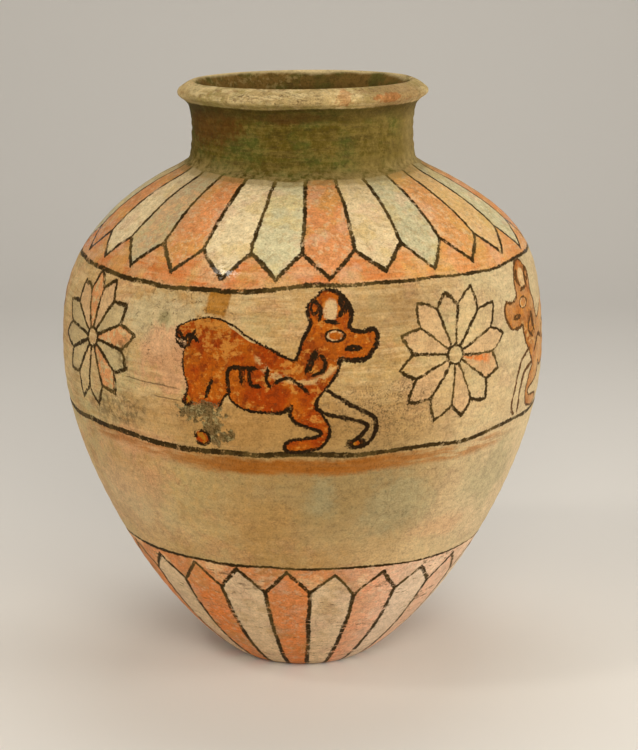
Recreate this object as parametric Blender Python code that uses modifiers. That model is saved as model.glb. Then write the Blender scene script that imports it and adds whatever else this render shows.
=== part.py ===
# A hand-thrown terracotta storage jar: an egg-shaped body on a small flat foot,
# a rounded shoulder, a short upright neck and a rolled rim.
# One fired piece, open at the mouth and hollow to the floor, its foot centred on the origin.
# Metres, +Z up. The side that carries the walking animal faces -Y.

from math import cos, pi, radians, sin, tan

import bpy

# Body
TOTAL_HEIGHT = 0.420
FOOT_RADIUS = 0.048
FOOT_RISE_ANGLE = radians(29)  # how steeply the wall leaves the foot
BELLY_RADIUS = 0.173
BELLY_HEIGHT = 0.229
FOOT_FULLNESS = 0.29  # share of the belly's height over which the foot's slope runs on
LOWER_FULLNESS = 0.33  # share of it over which the belly stays upright on the way down
UPPER_FULLNESS = 0.47  # the same on the way up to the neck, as a share of that height
SHOULDER_FULLNESS = 0.64  # share of it over which the shoulder's slope runs on

# Shoulder and neck
SHOULDER_SLOPE = radians(26)
NECK_RADIUS = 0.0804
NECK_FOOT_HEIGHT = 0.364  # where the shoulder's slope would meet the neck
NECK_FILLET = 0.008

# Rim
RIM_RADIUS = 0.0898
RIM_DEPTH = 0.020  # from the crest down to where the neck starts to flare
RIM_BEAD_RADIUS = 0.0034
RIM_DROP = 0.0078  # from the crest down to the middle of the outer bead
CREST_RADIUS = 0.0792
CREST_ROUNDING = 0.0024
UNDERSIDE_ANGLE = radians(-58)  # where the bead meets the flare, below level
SLOPE_ANGLE = radians(62)  # how steeply the rim's top faces upwards
LIP_ANGLE = radians(140)  # where the crest turns over into the mouth
FLARE_FULLNESS = 0.5  # share of the flare's rise over which each end runs straight
LIP_FULLNESS = 0.45  # the same for the fall from the crest to the neck's inner side

# Clay
WALL = 0.009
FLOOR = 0.014

# The throwing is a little uneven
SHOULDER_LEAN = 0.0031  # the shoulder stands this far towards +X
LEAN_START = 0.25  # share of the way from the belly to the neck where the lean begins
LEAN_FULL = 0.65  # share of that way where it is greatest
RIM_TILT = radians(0.55)  # the rim is higher on the +X side

# Facets
AROUND = 64
CURVE_STEPS = 11
ARC_STEPS = 4
MERGE_DISTANCE = 0.00001
SMOOTH_UP_TO = radians(40)  # edges bent more than this stay crisp

GLAZE_COLOUR = (0.56, 0.42, 0.22, 1.0)
GLAZE_ROUGHNESS = 0.55


def bezier(start, start_handle, end_handle, end, steps):
    # Points of a cubic curve, both ends included
    points = []
    for step in range(steps + 1):
        t = step / steps
        weights = ((1 - t) ** 3, 3 * t * (1 - t) ** 2, 3 * t * t * (1 - t), t**3)
        corners = (start, start_handle, end_handle, end)
        radius = sum(weight * corner[0] for weight, corner in zip(weights, corners))
        height = sum(weight * corner[1] for weight, corner in zip(weights, corners))
        points.append((radius, height))
    return points


def arc(centre, radius, start_angle, end_angle, steps):
    # Points of a circle's arc; angle 0 points outwards and a quarter turn points up
    angles = [start_angle + (end_angle - start_angle) * step / steps for step in range(steps + 1)]
    return [(centre[0] + radius * cos(a), centre[1] + radius * sin(a)) for a in angles]


def body_outline():
    # The outer side from the foot's edge up to where the neck starts to flare
    foot = (FOOT_RADIUS, 0.0)
    foot_run = FOOT_FULLNESS * BELLY_HEIGHT
    foot_handle = (
        FOOT_RADIUS + foot_run * cos(FOOT_RISE_ANGLE),
        foot_run * sin(FOOT_RISE_ANGLE),
    )
    belly = (BELLY_RADIUS, BELLY_HEIGHT)
    belly_low = (BELLY_RADIUS, BELLY_HEIGHT * (1 - LOWER_FULLNESS))

    upper_height = NECK_FOOT_HEIGHT - BELLY_HEIGHT
    belly_high = (BELLY_RADIUS, BELLY_HEIGHT + UPPER_FULLNESS * upper_height)
    fillet_turn = pi / 2 - SHOULDER_SLOPE
    fillet_run = NECK_FILLET * tan(fillet_turn / 2)
    shoulder_end = (
        NECK_RADIUS + fillet_run * cos(SHOULDER_SLOPE),
        NECK_FOOT_HEIGHT - fillet_run * sin(SHOULDER_SLOPE),
    )
    shoulder_run = SHOULDER_FULLNESS * upper_height
    shoulder_handle = (
        shoulder_end[0] + shoulder_run * cos(SHOULDER_SLOPE),
        shoulder_end[1] - shoulder_run * sin(SHOULDER_SLOPE),
    )
    fillet_centre = (NECK_RADIUS + NECK_FILLET, NECK_FOOT_HEIGHT + fillet_run)

    lower_body = bezier(foot, foot_handle, belly_low, belly, CURVE_STEPS)
    upper_body = bezier(belly, belly_high, shoulder_handle, shoulder_end, CURVE_STEPS)
    fillet = arc(fillet_centre, NECK_FILLET, pi + fillet_turn, pi, ARC_STEPS)
    neck_top = (NECK_RADIUS, TOTAL_HEIGHT - RIM_DEPTH)
    return lower_body + upper_body[1:] + fillet[1:] + [neck_top]


def rim_outline():
    # From the neck's outer side, round the bead and over the crest to the neck's inner side
    bead_centre = (RIM_RADIUS - RIM_BEAD_RADIUS, TOTAL_HEIGHT - RIM_DROP)
    crest_centre = (CREST_RADIUS, TOTAL_HEIGHT - CREST_ROUNDING)
    bead = arc(bead_centre, RIM_BEAD_RADIUS, UNDERSIDE_ANGLE, SLOPE_ANGLE, ARC_STEPS)
    crest = arc(crest_centre, CREST_ROUNDING, SLOPE_ANGLE, LIP_ANGLE, ARC_STEPS)

    neck_outside = (NECK_RADIUS, TOTAL_HEIGHT - RIM_DEPTH)
    neck_inside = (NECK_RADIUS - WALL, TOTAL_HEIGHT - RIM_DEPTH)
    flare_run = FLARE_FULLNESS * (bead[0][1] - neck_outside[1])
    flare_handle = (
        bead[0][0] + flare_run * sin(UNDERSIDE_ANGLE),
        bead[0][1] - flare_run * cos(UNDERSIDE_ANGLE),
    )
    flare = bezier(
        neck_outside,
        (neck_outside[0], neck_outside[1] + flare_run),
        flare_handle,
        bead[0],
        ARC_STEPS,
    )
    lip_run = LIP_FULLNESS * (crest[-1][1] - neck_inside[1])
    lip_handle = (crest[-1][0] - lip_run * sin(LIP_ANGLE), crest[-1][1] + lip_run * cos(LIP_ANGLE))
    lip = bezier(
        crest[-1],
        lip_handle,
        (neck_inside[0], neck_inside[1] + lip_run),
        neck_inside,
        ARC_STEPS + 1,
    )
    return flare[1:-1] + bead + crest + lip[1:-1]


def set_in(outline, depth):
    # The same outline moved squarely inwards through the wall
    moved = []
    for index, (radius, height) in enumerate(outline):
        before = outline[max(index - 1, 0)]
        after = outline[min(index + 1, len(outline) - 1)]
        run, rise = after[0] - before[0], after[1] - before[1]
        length = (run * run + rise * rise) ** 0.5
        moved.append((radius - depth * rise / length, height + depth * run / length))
    return moved


def floor_edge(inner):
    # Where the inner wall crosses the level of the floor, and the wall's points above it
    above = [point for point in inner if point[1] > FLOOR]
    low, high = inner[len(inner) - len(above) - 1], above[0]
    share = (FLOOR - low[1]) / (high[1] - low[1])
    return (low[0] + share * (high[0] - low[0]), FLOOR), above


def jar_section():
    # The whole wall in section: up the inside, over the rim and down the outside
    outside = body_outline()
    inner_wall = set_in(outside, WALL)
    edge, above = floor_edge(inner_wall)
    rim_inwards = rim_outline()
    up_the_inside = [(0.0, FLOOR), (edge[0] / 2, FLOOR), edge] + above
    down_the_outside = outside[::-1] + [(FOOT_RADIUS / 2, 0.0), (0.0, 0.0)]
    return up_the_inside + rim_inwards[::-1] + down_the_outside


def ease(share):
    # A soft step from 0 to 1
    share = min(max(share, 0.0), 1.0)
    return share * share * (3 - 2 * share)


def throw_unevenly(mesh):
    # The shoulder leans to one side between the belly and the neck, and the rim is tilted
    shoulder_top = NECK_FOOT_HEIGHT
    lean_start = BELLY_HEIGHT + LEAN_START * (shoulder_top - BELLY_HEIGHT)
    lean_full = BELLY_HEIGHT + LEAN_FULL * (shoulder_top - BELLY_HEIGHT)
    for vertex in mesh.vertices:
        height = vertex.co.z
        rise = ease((height - lean_start) / (lean_full - lean_start))
        fall = ease((height - lean_full) / (shoulder_top - lean_full))
        tilt = ease((height - shoulder_top) / (TOTAL_HEIGHT - shoulder_top))
        vertex.co.z += vertex.co.x * tan(RIM_TILT) * tilt
        vertex.co.x += SHOULDER_LEAN * rise * (1 - fall)


def glaze():
    material = bpy.data.materials.new("glazed_terracotta")
    material.use_nodes = True
    shader = material.node_tree.nodes["Principled BSDF"]
    shader.inputs["Base Color"].default_value = GLAZE_COLOUR
    shader.inputs["Roughness"].default_value = GLAZE_ROUGHNESS
    shader.inputs["Metallic"].default_value = 0.0
    material.diffuse_color = GLAZE_COLOUR
    return material


def turn(name, section, collection):
    # The section turned once round the jar's axis, as a plain mesh
    outline = bpy.data.meshes.new(name + "_section")
    points = [(radius, 0.0, height) for radius, height in section]
    outline.from_pydata(points, [(i, i + 1) for i in range(len(points) - 1)], [])
    turned = bpy.data.objects.new(name + "_section", outline)
    collection.objects.link(turned)
    screw = turned.modifiers.new("turn", "SCREW")
    screw.steps = AROUND
    screw.render_steps = AROUND
    screw.use_merge_vertices = True
    screw.merge_threshold = MERGE_DISTANCE
    bpy.context.view_layer.update()
    graph = bpy.context.evaluated_depsgraph_get()
    mesh = bpy.data.meshes.new_from_object(turned.evaluated_get(graph))
    bpy.data.objects.remove(turned)
    mesh.name = name
    return mesh


def build_jar(collection):
    mesh = turn("jar", jar_section(), collection)
    throw_unevenly(mesh)
    mesh.materials.clear()
    mesh.materials.append(glaze())
    mesh.shade_smooth()
    mesh.set_sharp_from_angle(angle=SMOOTH_UP_TO)
    jar = bpy.data.objects.new("jar", mesh)
    collection.objects.link(jar)
    return jar


def main():
    for old in list(bpy.data.objects):
        bpy.data.objects.remove(old)
    collection = bpy.data.collections.new("glazed_terracotta_jar")
    bpy.context.scene.collection.children.link(collection)
    build_jar(collection)


main()
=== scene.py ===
from math import atan2, cos, hypot, pi, radians, sin

import bmesh
import bpy
import numpy as np
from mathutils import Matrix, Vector


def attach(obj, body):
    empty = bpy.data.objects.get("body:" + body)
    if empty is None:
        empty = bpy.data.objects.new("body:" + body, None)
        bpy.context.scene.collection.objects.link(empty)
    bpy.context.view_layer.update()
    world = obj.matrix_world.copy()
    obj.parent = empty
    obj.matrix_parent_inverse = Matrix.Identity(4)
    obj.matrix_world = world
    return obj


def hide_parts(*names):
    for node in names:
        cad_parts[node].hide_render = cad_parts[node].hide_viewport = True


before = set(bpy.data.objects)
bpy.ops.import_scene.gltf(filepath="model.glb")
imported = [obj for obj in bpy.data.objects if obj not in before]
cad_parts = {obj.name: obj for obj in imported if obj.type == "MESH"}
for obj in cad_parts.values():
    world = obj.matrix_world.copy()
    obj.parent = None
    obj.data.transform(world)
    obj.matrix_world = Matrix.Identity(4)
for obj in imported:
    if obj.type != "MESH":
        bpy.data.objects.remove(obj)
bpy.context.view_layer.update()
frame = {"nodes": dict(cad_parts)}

print("frame loaded:", ", ".join(frame["nodes"]))


# camera

photoView = {
    "frame": (638, 750),  # the photograph's width and height in pixels
    "focal": 2075,  # pixels
    "distance": 1.512,
    "elevation": radians(12.9),
    "aimHeight": 0.21,
    "axisAt": (302.5, 368.6),  # the pixel that shows the jar's axis at that height
}


def placeCamera(view):
    width, height = view["frame"]
    lens = bpy.data.cameras.new("camera")
    lens.sensor_width = 36.0
    lens.lens = view["focal"] * lens.sensor_width / height
    lens.clip_start = 0.05
    camera = bpy.data.objects.new("camera", lens)
    bpy.context.scene.collection.objects.link(camera)
    lift = view["elevation"]
    camera.location = (
        0.0,
        -view["distance"] * cos(lift),
        view["aimHeight"] + view["distance"] * sin(lift),
    )
    # turned a little so that the jar stands left of the middle, as in the photograph
    across = atan2(width / 2 - view["axisAt"][0], view["focal"])
    down = atan2(height / 2 - view["axisAt"][1], view["focal"])
    camera.rotation_euler = (pi / 2 - lift - down, 0.0, -across)
    bpy.context.scene.camera = camera
    print("camera set", round(view["distance"], 3), "m away")


placeCamera(photoView)


# the jar's wall, read from the CAD solid and made smooth

wall = {
    "around": 288,
    "footRounding": 0.0022,
    "ringGaps": {  # metres between rings, up the outside, over the rim and down the inside
        "foot": 0.004,
        "lower": 0.0055,
        "frieze": 0.0040,
        "shoulder": 0.0042,
        "neck": 0.0030,
        "rim": 0.0011,
        "inside": 0.012,
    },
    "unevenness": 0.00035,
    "rimLumps": 0.00050,
    "glazeStep": 0.0004,
    "chips": [  # azimuth in degrees, place below the crest, width in degrees, height, depth
        (-17, 0.010, 3.2, 0.0040, 0.0016),
        (-9, 0.008, 1.4, 0.0020, 0.0014),
        (-5, 0.011, 1.8, 0.0022, 0.0012),
        (-71, 0.013, 4.0, 0.0030, 0.0012),
        (24, 0.016, 3.0, 0.0020, 0.0006),
        (118, 0.008, 5.0, 0.0040, 0.0012),
        (200, 0.004, 4.0, 0.0030, 0.0010),
    ],
}

bandHeights = {  # where the painted bands lie, in metres above the floor
    "lowerLine": 0.101,
    "friezeFoot": 0.1905,
    "friezeTop": 0.300,
    "petalTop": 0.3588,
    "neckTop": 0.4010,
    "rimFoot": 0.4065,
}


def wallSections(node):
    # The wall's section on the +X side and on the -X side: up the outside, over the rim, down inside
    solid = bmesh.new()
    solid.from_mesh(node.data)
    bmesh.ops.remove_doubles(solid, verts=solid.verts, dist=1e-5)
    sections = []
    for side in (1, -1):
        onSide = {v for v in solid.verts if abs(v.co.y) < 1e-5 and side * v.co.x > -1e-5}
        here = min(onSide, key=lambda v: (round(abs(v.co.x), 5), v.co.z))
        walk = [here]
        while here is not None:
            onward = [e.other_vert(here) for e in here.link_edges]
            onward = [v for v in onward if v in onSide and v not in walk]
            here = onward[0] if onward else None
            walk += onward[:1]
        sections.append(np.array([tuple(v.co) for v in walk]))
    solid.free()
    return sections


class WallPath:
    # Radius, height, lean and tilt of the wall at any distance along its section

    def __init__(self, node, footRounding):
        right, left = wallSections(node)
        radius = (right[:, 0] - left[:, 0]) / 2
        height = (right[:, 2] + left[:, 2]) / 2
        lean = (right[:, 0] + left[:, 0]) / 2
        tilt = (right[:, 2] - left[:, 2]) / np.maximum(2 * radius, 1e-6)
        knots = np.column_stack([radius, height, lean, tilt])
        level = np.abs(height - height[-1]) < 1e-5
        footEdge = int(np.argmax(np.where(height < 1e-5, radius, 0)))
        floorEdge = int(np.argmax(np.where(level, radius, 0)))
        self.knots = self.roundFoot(knots[footEdge:floorEdge + 1], footRounding)
        steps = np.hypot(np.diff(self.knots[:, 0]), np.diff(self.knots[:, 1]))
        self.places = np.concatenate([[0.0], np.cumsum(steps)]) - footRounding
        self.slopes = self.knotSlopes()
        self.crest = self.places[int(np.argmax(self.knots[:, 1]))]
        self.start, self.end = self.places[0], self.places[-1]
        outside = np.linspace(0.0, self.crest, 1200)
        heights = self.at(outside)[:, 1]
        self.runs = {name: float(np.interp(h, heights, outside)) for name, h in bandHeights.items()}

    def roundFoot(self, knots, rounding):
        # The foot's edge is a little worn
        edge, above = knots[0], knots[1]
        rise = (above - edge) / hypot(*(above - edge)[:2])
        first = edge - np.array([rounding, 0, 0, 0])
        middle = edge + rise * rounding * 0.30 - np.array([rounding * 0.30, 0, 0, 0])
        last = edge + rise * rounding
        return np.vstack([first, middle, last, knots[1:]])

    def knotSlopes(self):
        gaps = np.diff(self.places)[:, None]
        runs = np.diff(self.knots, axis=0) / gaps
        inner = (runs[:-1] * gaps[1:] + runs[1:] * gaps[:-1]) / (gaps[:-1] + gaps[1:])
        return np.vstack([runs[:1], inner, runs[-1:]])

    def at(self, place):
        place = np.clip(np.asarray(place, float), self.start, self.end)
        k = np.clip(np.searchsorted(self.places, place, side="right") - 1, 0, len(self.places) - 2)
        gap = self.places[k + 1] - self.places[k]
        t = ((place - self.places[k]) / gap)[..., None]
        gap = gap[..., None]
        return (
            (2 * t**3 - 3 * t**2 + 1) * self.knots[k]
            + (t**3 - 2 * t**2 + t) * gap * self.slopes[k]
            + (3 * t**2 - 2 * t**3) * self.knots[k + 1]
            + (t**3 - t**2) * gap * self.slopes[k + 1]
        )


jarPath = WallPath(frame["nodes"]["jar"], wall["footRounding"])
runs = jarPath.runs  # metres along the outside of the wall, from the foot's edge to each band
friezeMiddle = (runs["friezeFoot"] + runs["friezeTop"]) / 2
friezeRadius = 0.170


def ringPlaces(path, gaps):
    # Rings lie closer together where the shape or the painting is finer
    stretches = [
        (path.start, 0.004, 0.0008),
        (0.004, 0.030, gaps["foot"]),
        (0.030, runs["friezeFoot"], gaps["lower"]),
        (runs["friezeFoot"], runs["friezeTop"], gaps["frieze"]),
        (runs["friezeTop"], runs["petalTop"], gaps["shoulder"]),
        (runs["petalTop"], runs["neckTop"], gaps["neck"]),
        (runs["neckTop"], path.crest + 0.020, gaps["rim"]),
        (path.crest + 0.020, path.end, gaps["inside"]),
    ]
    places = []
    for low, high, gap in stretches:
        count = max(1, round((high - low) / gap))
        places += list(np.linspace(low, high, count, endpoint=False))
    return places + [path.end]


# the walking animal, drawn in millimetres on the jar's side, its middle at 0, 0

animal = {
    "outline": [
        (-68, 24), (-65, 28), (-53, 33), (-40, 34), (-28, 30), (-15, 22), (-1, 15), (8, 10),
        (13, 9), (15, 14), (18, 23), (22, 32), (20, 38), (20, 45), (25, 50), (29, 54),
        (36, 54), (43, 50), (48, 42), (49, 35), (48, 30), (53, 27), (59, 27), (64, 28),
        (67, 23), (65, 16), (59, 9), (50, 8), (42, 9), (41, 4), (37, -4), (30, -13),
        (26, -21), (31, -28), (35, -36), (34, -44), (29, -50), (18, -53), (8, -53), (6, -49),
        (11, -45), (26, -43), (29, -39), (20, -36), (12, -32), (9, -27), (10, -22), (5, -26), (-8, -26),
        (-20, -24), (-28, -19), (-31, -14), (-36, -22), (-40, -34), (-38, -46), (-42, -51), (-54, -50),
        (-53, -42), (-55, -32), (-61, -22), (-59, -12), (-62, -2), (-62, 10), (-60, 18), (-67, 20),
    ],
    "strokes": [
        [(-30, -13), (-31, -5), (-30, 2), (-22, 3), (-13, 3)],
        [(1, -6), (8, -3), (15, -7), (20, -12)],
        [(25, 14), (22, 8), (20, 2)],
        [(26.5, 13), (23.5, 7), (22, 3)],
        [(30, 11), (32, 7), (31, 2), (25, -1)],
        [(-5, 2), (-6, -4), (-4, -8)],
        [(-42, -7), (-46, -17)],
        [(-22, 1), (-22, -6)],
        [(-17, 2), (-16, -8), (-11, -9)],
        [(24, 47), (28, 43), (28, 36)],
        [(33, 34), (39, 33)],
        [(41, 47), (43, 42), (41, 38)],
        [(42.5, 46), (44.5, 41)],
        [(-66, 23), (-62, 19), (-58, 22), (-53, 19)],
        [(-67, 17), (-62, 14), (-58, 17), (-55, 24)],
    ],
    "forelegs": {  # the leg that has no colour in it, for the animals that face right and left
        1: [
            [(33, -11), (42, -17), (52, -23), (63, -29), (66, -35), (64, -44), (58, -50), (50, -51)],
            [(47, -49), (53, -45), (58, -40), (59, -35), (48, -31), (35, -28), (27, -24)],
        ],
        -1: [
            [(33, -9), (44, -14), (50, -22), (54, -34), (56, -46), (51, -52)],
            [(45, -51), (46, -40), (43, -29), (38, -23), (28, -20)],
        ],
    },
    "ovals": {  # middle x, y and half width, half height
        "brow": (34.8, 41.0, 5.0, 7.6),
        "ear": (24.2, 43.0, 2.4, 4.2),
        "eye": (38.4, 24.4, 6.2, 3.9),
        "nostril": (50.6, 16.0, 3.2, 1.2),
        "chest": (15.0, 16.0, 27.0, 22.0),
        "hoof": (-50.0, -46.5, 5.4, 5.4),
        "knee": (-59.5, -21.0, 3.6, 4.0),
        "forehoof": (53.0, -48.0, 6.0, 3.0),
    },
    "azimuths": (-6, 76, 172, -104),
    "facing": (1, -1, 1, -1),
    "above": (0.0, 0.004, 0.0015, 0.002),  # above the frieze's middle
    "cuts": (3, 2, 1, 1),  # how finely the wall is divided under each animal
    "half": (0.074, 0.0555),
}

rosette = {
    "azimuths": (36.0, -56.25, 126.0, 216.0),
    "above": (0.0053, 0.0089, 0.004, 0.006),  # above the frieze's middle
    "petals": 12,
    "tip": 0.0450,
    "notch": 0.0340,
    "eye": 0.0067,
    "tipHeading": 8.0,  # degrees
    "orange": ((11,), (0, 3, 10)),  # which petals, counted leftwards from the right, on the 1st and 2nd
    "pink": ((0, 4, 5, 7, 9), (2, 4)),
    "grey": ((), (1, 5, 6, 7, 11)),
}


def smoothCurve(points, closed, steps=5):
    # A curve through the points
    points = np.array(points, float) / 1000
    count = len(points)
    spans = count if closed else count - 1
    curve = []
    for i in range(spans):
        if closed:
            before, start, end, after = (points[(i + j) % count] for j in (-1, 0, 1, 2))
        else:
            before, start, end, after = (points[min(max(i + j, 0), count - 1)] for j in (-1, 0, 1, 2))
        for t in np.arange(steps) / steps:
            curve.append(
                0.5 * (2 * start + (end - before) * t
                       + (2 * before - 5 * start + 4 * end - after) * t**2
                       + (3 * start - before - 3 * end + after) * t**3)
            )
    if not closed:
        curve.append(points[-1])
    return np.array(curve)


def nearestOnCurve(places, curve, closed):
    # Distance from each place to the curve, with a sign for the side that it is on
    ends = np.roll(curve, -1, axis=0) if closed else curve[1:]
    starts = curve if closed else curve[:-1]
    best = np.full(len(places), 1.0)
    side = np.ones(len(places))
    for start, end in zip(starts, ends):
        along = end - start
        fromStart = places - start
        share = np.clip(fromStart @ along / (along @ along), 0, 1)
        away = np.hypot(*(fromStart - share[:, None] * along).T)
        closer = away < best
        best = np.where(closer, away, best)
        turnSide = np.sign(along[0] * fromStart[:, 1] - along[1] * fromStart[:, 0])
        side = np.where(closer, turnSide, side)
    return best, side


def insideCurve(places, curve):
    ends = np.roll(curve, -1, axis=0)
    inside = np.zeros(len(places), bool)
    for (x0, y0), (x1, y1) in zip(curve, ends):
        crosses = (y0 > places[:, 1]) != (y1 > places[:, 1])
        if y1 != y0:
            inside ^= crosses & (places[:, 0] < (x1 - x0) * (places[:, 1] - y0) / (y1 - y0) + x0)
    return inside


def chartFrom(turn, along, azimuth, middle, facing=1):
    # Metres across and up the wall, from a picture's middle
    away = (turn - azimuth / 360 + 0.5) % 1.0 - 0.5
    return np.column_stack([facing * away * 2 * pi * friezeRadius, along - middle])


def spinWall(path):
    body = bmesh.new()
    alongWall = body.verts.layers.float.new("alongWall")
    places = ringPlaces(path, wall["ringGaps"])
    section = path.at(places)
    footRadius, floorRadius = section[0][0], section[-1][0]
    column = [(0.0, section[0][1], path.start - footRadius)]
    column.append((footRadius * 0.55, section[0][1], path.start - footRadius * 0.45))
    column += [(radius, height, place) for (radius, height, _, _), place in zip(section, places)]
    column.append((floorRadius * 0.6, section[-1][1], path.end + floorRadius * 0.4))
    column.append((0.0, section[-1][1], path.end + floorRadius))
    verts = []
    for radius, height, place in column:
        vert = body.verts.new((radius, 0.0, height))
        vert[alongWall] = place
        verts.append(vert)
    edges = [body.edges.new(pair) for pair in zip(verts, verts[1:])]
    bmesh.ops.spin(
        body, geom=verts + edges, cent=(0, 0, 0), axis=(0, 0, 1), dvec=(0, 0, 0),
        angle=2 * pi, steps=wall["around"], use_merge=True,
    )
    bmesh.ops.remove_doubles(body, verts=body.verts, dist=1e-6)
    bmesh.ops.recalc_face_normals(body, faces=body.faces)
    return body, alongWall


def divideUnderAnimals(body, alongWall):
    # The painted animals need a finer net than the plain wall
    halfWidth, halfHeight = animal["half"]
    for azimuth, above, cuts in zip(animal["azimuths"], animal["above"], animal["cuts"]):
        inside = set()
        for vert in body.verts:
            if abs(vert[alongWall] - friezeMiddle - above) < halfHeight + 0.002:
                away = (atan2(vert.co.x, -vert.co.y) - radians(azimuth) + pi) % (2 * pi) - pi
                if abs(away) * friezeRadius < halfWidth:
                    inside.add(vert)
        edges = [e for e in body.edges if e.verts[0] in inside and e.verts[1] in inside]
        bmesh.ops.subdivide_edges(body, edges=edges, cuts=cuts, use_grid_fill=True)


def softNoise(places, size, seed):
    # Smooth hills about size metres across, from -1 to 1
    dice = np.random.default_rng(seed)
    total = np.zeros(len(places))
    for _ in range(7):
        direction = dice.normal(size=3)
        direction *= 2 * pi / (size * dice.uniform(1.4, 3.0) * np.linalg.norm(direction))
        total += np.sin(places @ direction + dice.uniform(0, 2 * pi))
    return total / 4.5


def hump(value, middle, width):
    return np.exp(-(((value - middle) / width) ** 2))


def shapeByHand(path, turn, along):
    # Every point of the wall, with the unevenness of throwing, wear and chips
    radius, height, lean, tilt = path.at(along).T
    radius = np.where(along < path.start, path.at(path.start)[0] - (path.start - along), radius)
    radius = np.where(along > path.end, path.at(path.end)[0] - (along - path.end), radius)
    azimuth = turn * 2 * pi
    out = np.column_stack([np.sin(azimuth), -np.cos(azimuth), np.zeros(len(turn))])
    plain = np.column_stack([radius * out[:, 0], radius * out[:, 1], height])

    # slow swells round the body, and the shallow grooves that the potter's fingers left
    body = np.clip(along / 0.03, 0, 1) * (along < path.crest)
    push = wall["unevenness"] * (softNoise(plain, 0.05, 3) - 1.0) * body
    push += 0.00012 * (np.sin(along * 2 * pi / 0.0115 + 1.5 * softNoise(plain, 0.08, 5)) - 1) * body
    onNeck = np.clip((along - runs["petalTop"] - 0.004) / 0.01, 0, 1) * (along < runs["neckTop"])
    push += 0.00032 * (np.sin(along * 2 * pi / 0.0072 + softNoise(plain, 0.05, 6)) - 1) * onNeck
    # the neck's glaze ends in a low step where the petals start
    belowStep = np.clip((runs["petalTop"] - along) / 0.002, 0, 1) * (along > runs["friezeTop"])
    push -= wall["glazeStep"] * belowStep * np.clip((along - runs["friezeTop"]) / 0.05, 0, 1)
    # the rim is lumpy, with a seam under its bead, and chipped
    onRim = hump(along, path.crest - 0.007, 0.012)
    push += wall["rimLumps"] * (softNoise(plain, 0.018, 8) + 0.7 * softNoise(plain, 0.007, 9) - 1.6) * onRim
    for azimuthDegrees, below, wide, tall, deep in wall["chips"]:
        away = (turn * 360 - azimuthDegrees + 180) % 360 - 180
        push -= deep * hump(away, 0, wide) * hump(along, path.crest - below, tall)

    x, y, z = (plain + out * push[:, None]).T
    z = z - 0.0003 * hump(along, path.crest, 0.006)
    return np.column_stack([x + lean, y, z + x * tilt])


def addNearestChart(mesh, name, azimuths, facings, middles, faceTurn, faceOf, cornerTurn, cornerAlong):
    # Each face takes the chart of the picture that is nearest to it; z is the picture's number
    away = np.array([np.abs((faceTurn - a / 360 + 0.5) % 1.0 - 0.5) for a in azimuths])
    nearest = np.argmin(away, axis=0)[faceOf]
    chart = np.zeros((len(cornerTurn), 3))
    for i, (azimuth, facing, middle) in enumerate(zip(azimuths, facings, middles)):
        mine = nearest == i
        chart[mine, :2] = chartFrom(cornerTurn[mine], cornerAlong[mine], azimuth, middle, facing)
        chart[mine, 2] = i
    layer = mesh.attributes.new(name, "FLOAT_VECTOR", "CORNER")
    layer.data.foreach_set("vector", chart.ravel())


def addCharts(mesh, path, places, turn, along):
    # Maps that belong to the faces' corners, so that none of them breaks across the back
    vertexOf = np.zeros(len(mesh.loops), int)
    mesh.loops.foreach_get("vertex_index", vertexOf)
    sizes = np.zeros(len(mesh.polygons), int)
    mesh.polygons.foreach_get("loop_total", sizes)
    faceOf = np.repeat(np.arange(len(sizes)), sizes)
    flat = places[vertexOf][:, :2]
    middle = np.column_stack([np.bincount(faceOf, flat[:, i], len(sizes)) for i in (0, 1)])
    faceTurn = np.arctan2(middle[:, 0], -middle[:, 1]) / (2 * pi)
    onAxis = np.hypot(*flat.T) < 1e-6
    away = (turn[vertexOf] - faceTurn[faceOf] + 0.5) % 1.0 - 0.5
    cornerTurn = faceTurn[faceOf] + np.where(onAxis, 0.0, away)
    cornerAlong = along[vertexOf]

    # the outside gets most of the baked picture
    v = np.interp(cornerAlong, [along.min(), 0.0, path.crest, along.max()], [0.002, 0.04, 0.87, 0.998])
    baked = mesh.uv_layers.new(name="OFBake")
    baked.data.foreach_set("uv", np.column_stack([0.003 + 0.994 * (cornerTurn + 0.5), v]).ravel())

    turns = mesh.attributes.new("turn", "FLOAT", "CORNER")
    turns.data.foreach_set("value", cornerTurn)
    addNearestChart(mesh, "rosettePlace", rosette["azimuths"], (1, 1, 1, 1),
                    [friezeMiddle + above for above in rosette["above"]],
                    faceTurn, faceOf, cornerTurn, cornerAlong)
    addNearestChart(mesh, "animalPlace", animal["azimuths"], animal["facing"],
                    [friezeMiddle + above for above in animal["above"]],
                    faceTurn, faceOf, cornerTurn, cornerAlong)


def drawAnimals(mesh, turn, along):
    # Signed distances to the painted outline and strokes, in metres, kept on the wall's points
    outline = smoothCurve(animal["outline"], True)
    edge = np.full(len(turn), 0.05)
    strokeSide = np.full(len(turn), 0.05)
    strokeReach = np.full(len(turn), 0.05)
    for azimuth, facing, above in zip(animal["azimuths"], animal["facing"], animal["above"]):
        chart = chartFrom(turn, along, azimuth, friezeMiddle + above, facing)
        near = (np.abs(chart[:, 0]) < 0.085) & (np.abs(chart[:, 1]) < 0.06)
        index = np.flatnonzero(near)
        away, _ = nearestOnCurve(chart[index], outline, True)
        edge[index] = np.where(insideCurve(chart[index], outline), -away, away)
        for stroke in animal["strokes"] + animal["forelegs"][facing]:
            away, side = nearestOnCurve(chart[index], smoothCurve(stroke, False), False)
            closer = away < strokeReach[index]
            strokeReach[index[closer]] = away[closer]
            strokeSide[index[closer]] = (away * side)[closer]
    for name, values in (("outlineSide", edge), ("strokeSide", strokeSide), ("strokeReach", strokeReach)):
        layer = mesh.attributes.new(name, "FLOAT", "POINT")
        layer.data.foreach_set("value", values)


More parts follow.
